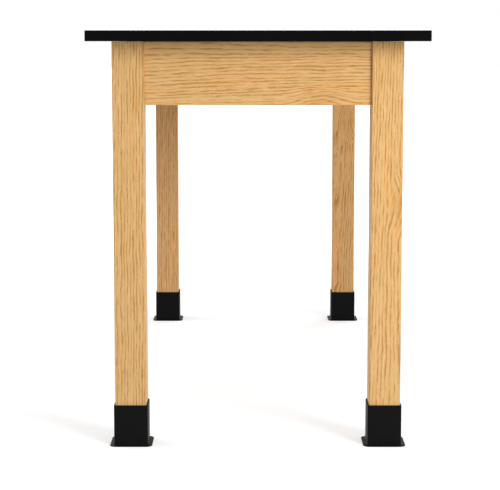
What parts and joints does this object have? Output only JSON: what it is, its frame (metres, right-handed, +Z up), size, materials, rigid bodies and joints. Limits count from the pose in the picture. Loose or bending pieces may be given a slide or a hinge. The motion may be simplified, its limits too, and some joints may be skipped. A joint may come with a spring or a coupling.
{
  "type": "laboratory table",
  "caption": "Long laboratory table: black slab top on an oak apron frame, square bolted legs, hidden screw levelers and black moulded boots.",
  "frame": {"origin": "on the floor, under the middle of the table", "axes": "+Z up, +Y along the table's length from its front end to its rear end, +X to its right side as seen from the front end"},
  "size_m": [0.6096, 1.524, 0.762],
  "materials": {
    "slab": "black phenolic resin slab, satin",
    "oak": "golden oak, clear satin lacquer",
    "hardwood": "unfinished hardwood",
    "steel": "plated strip steel",
    "zinc": "bright zinc plate",
    "brass": "turned brass",
    "moulding": "black vinyl moulding, satin",
    "pad": "dark nylon"
  },
  "bodies": {
    "frame": {"table_top": "slab", "front_end_apron": "oak", "rear_end_apron": "oak", "left_side_apron": "oak", "right_side_apron": "oak", "center_cross_rail": "oak", "front_left_leg": "oak", "front_right_leg": "oak", "rear_left_leg": "oak", "rear_right_leg": "oak", "front_end_cleat": "hardwood", "rear_end_cleat": "hardwood", "front_left_side_cleat": "hardwood", "front_right_side_cleat": "hardwood", "rear_left_side_cleat": "hardwood", "rear_right_side_cleat": "hardwood", "front_end_top_screw": "zinc", "rear_end_top_screw": "zinc", "front_left_side_top_screw": "zinc", "front_right_side_top_screw": "zinc", "rear_left_side_top_screw": "zinc", "rear_right_side_top_screw": "zinc", "front_end_top_insert": "brass", "rear_end_top_insert": "brass", "front_left_side_top_insert": "brass", "front_right_side_top_insert": "brass", "rear_left_side_top_insert": "brass", "rear_right_side_top_insert": "brass", "front_left_corner_bracket": "steel", "front_right_corner_bracket": "steel", "rear_left_corner_bracket": "steel", "rear_right_corner_bracket": "steel", "front_left_hanger_bolt": "zinc", "front_right_hanger_bolt": "zinc", "rear_left_hanger_bolt": "zinc", "rear_right_hanger_bolt": "zinc", "front_left_washer": "zinc", "front_right_washer": "zinc", "rear_left_washer": "zinc", "rear_right_washer": "zinc", "front_left_nut": "zinc", "front_right_nut": "zinc", "rear_left_nut": "zinc", "rear_right_nut": "zinc", "front_left_leveler_sleeve": "zinc", "front_right_leveler_sleeve": "zinc", "rear_left_leveler_sleeve": "zinc", "rear_right_leveler_sleeve": "zinc"},
    "front_left_pad": {"front_left_leveler_pad": "pad"},
    "front_right_pad": {"front_right_leveler_pad": "pad"},
    "rear_left_pad": {"rear_left_leveler_pad": "pad"},
    "rear_right_pad": {"rear_right_leveler_pad": "pad"},
    "front_left_stem": {"front_left_leveler_stem": "zinc"},
    "front_right_stem": {"front_right_leveler_stem": "zinc"},
    "rear_left_stem": {"rear_left_leveler_stem": "zinc"},
    "rear_right_stem": {"rear_right_leveler_stem": "zinc"},
    "front_left_boot": {"front_left_boot": "moulding"},
    "front_right_boot": {"front_right_boot": "moulding"},
    "rear_left_boot": {"rear_left_boot": "moulding"},
    "rear_right_boot": {"rear_right_boot": "moulding"}
  },
  "joints": [
    {"name": "front_left_leveler_height", "type": "slide", "parent": "frame", "child": "front_left_pad", "axis": [0, 0, -1], "range_m": [0, 0.019]},
    {"name": "front_right_leveler_height", "type": "slide", "parent": "frame", "child": "front_right_pad", "axis": [0, 0, -1], "range_m": [0, 0.019]},
    {"name": "rear_left_leveler_height", "type": "slide", "parent": "frame", "child": "rear_left_pad", "axis": [0, 0, -1], "range_m": [0, 0.019]},
    {"name": "rear_right_leveler_height", "type": "slide", "parent": "frame", "child": "rear_right_pad", "axis": [0, 0, -1], "range_m": [0, 0.019]},
    {"name": "front_left_leveler_turn", "type": "hinge", "parent": "front_left_pad", "child": "front_left_stem", "pos_m": [-0.23433, -0.67073, 0.03], "axis": [0, 0, -1], "range_deg": [0, 4850]},
    {"name": "front_right_leveler_turn", "type": "hinge", "parent": "front_right_pad", "child": "front_right_stem", "pos_m": [0.23433, -0.67073, 0.03], "axis": [0, 0, -1], "range_deg": [0, 4850]},
    {"name": "rear_left_leveler_turn", "type": "hinge", "parent": "rear_left_pad", "child": "rear_left_stem", "pos_m": [-0.23433, 0.67073, 0.03], "axis": [0, 0, -1], "range_deg": [0, 4850]},
    {"name": "rear_right_leveler_turn", "type": "hinge", "parent": "rear_right_pad", "child": "rear_right_stem", "pos_m": [0.23433, 0.67073, 0.03], "axis": [0, 0, -1], "range_deg": [0, 4850]},
    {"name": "front_left_boot_slide", "type": "slide", "parent": "frame", "child": "front_left_boot", "axis": [0, 0, 1], "range_m": [0, 0.06]},
    {"name": "front_right_boot_slide", "type": "slide", "parent": "frame", "child": "front_right_boot", "axis": [0, 0, 1], "range_m": [0, 0.06]},
    {"name": "rear_left_boot_slide", "type": "slide", "parent": "frame", "child": "rear_left_boot", "axis": [0, 0, 1], "range_m": [0, 0.06]},
    {"name": "rear_right_boot_slide", "type": "slide", "parent": "frame", "child": "rear_right_boot", "axis": [0, 0, 1], "range_m": [0, 0.06]}
  ],
  "couplings": [
    {"joint": "front_left_leveler_turn", "follows": "front_left_leveler_height", "rad_per_m": 4452.9},
    {"joint": "front_right_leveler_turn", "follows": "front_right_leveler_height", "rad_per_m": 4452.9},
    {"joint": "rear_left_leveler_turn", "follows": "rear_left_leveler_height", "rad_per_m": 4452.9},
    {"joint": "rear_right_leveler_turn", "follows": "rear_right_leveler_height", "rad_per_m": 4452.9}
  ]
}
